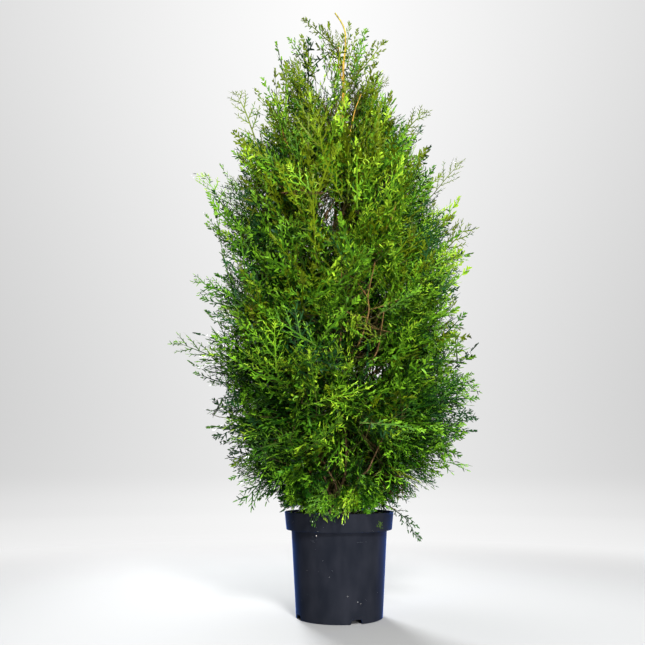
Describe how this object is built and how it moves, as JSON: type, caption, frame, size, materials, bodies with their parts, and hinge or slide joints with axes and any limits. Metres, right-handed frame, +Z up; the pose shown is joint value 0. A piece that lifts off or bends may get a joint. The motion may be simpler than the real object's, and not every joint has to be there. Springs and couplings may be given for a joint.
{
  "type": "potted arborvitae",
  "caption": "Young upright arborvitae with a dense, narrow, oval crown of flat sprays, standing in a tapered round nursery pot.",
  "frame": {"origin": "middle of the pot's flat underside, on the surface that it stands on", "axes": "-Z out of the underside, +Z up along the plant's length, -Y towards its front"},
  "size_m": [0.7418, 0.6554, 1.4994],
  "materials": {
    "pot_plastic": "moulded charcoal plastic with a slight blue sheen",
    "soil": "moist potting soil with moss and perlite",
    "bark": "fibrous reddish-brown bark",
    "foliage": "fresh green scale-leaved sprays"
  },
  "bodies": {
    "root": {"bough_1_1": "bark", "bough_1_2": "bark", "bough_1_3": "bark", "bough_1_4": "bark", "bough_1_5": "bark", "bough_1_6": "bark", "bough_2_1": "bark", "bough_2_2": "bark", "bough_2_3": "bark", "bough_2_4": "bark", "bough_2_5": "bark", "bough_2_6": "bark", "bough_2_7": "bark", "bough_3_1": "bark", "bough_3_2": "bark", "bough_3_3": "bark", "bough_3_4": "bark", "bough_3_5": "bark", "bough_3_6": "bark", "bough_4_1": "bark", "bough_4_2": "bark", "bough_4_3": "bark", "bough_4_4": "bark", "foliage_1_1": "foliage", "foliage_1_2": "foliage", "foliage_1_3": "foliage", "foliage_1_4": "foliage", "foliage_1_5": "foliage", "foliage_1_6": "foliage", "foliage_2_1": "foliage", "foliage_2_2": "foliage", "foliage_2_3": "foliage", "foliage_2_4": "foliage", "foliage_2_5": "foliage", "foliage_2_6": "foliage", "foliage_2_7": "foliage", "foliage_3_1": "foliage", "foliage_3_2": "foliage", "foliage_3_3": "foliage", "foliage_3_4": "foliage", "foliage_3_5": "foliage", "foliage_3_6": "foliage", "foliage_4_1": "foliage", "foliage_4_2": "foliage", "foliage_4_3": "foliage", "foliage_4_4": "foliage", "foliage_front_top": "foliage", "foliage_leader": "foliage", "foliage_left_top": "foliage", "foliage_right_top": "foliage", "pot": "pot_plastic", "potting_soil": "soil", "trunk": "bark"}
  },
  "joints": []
}
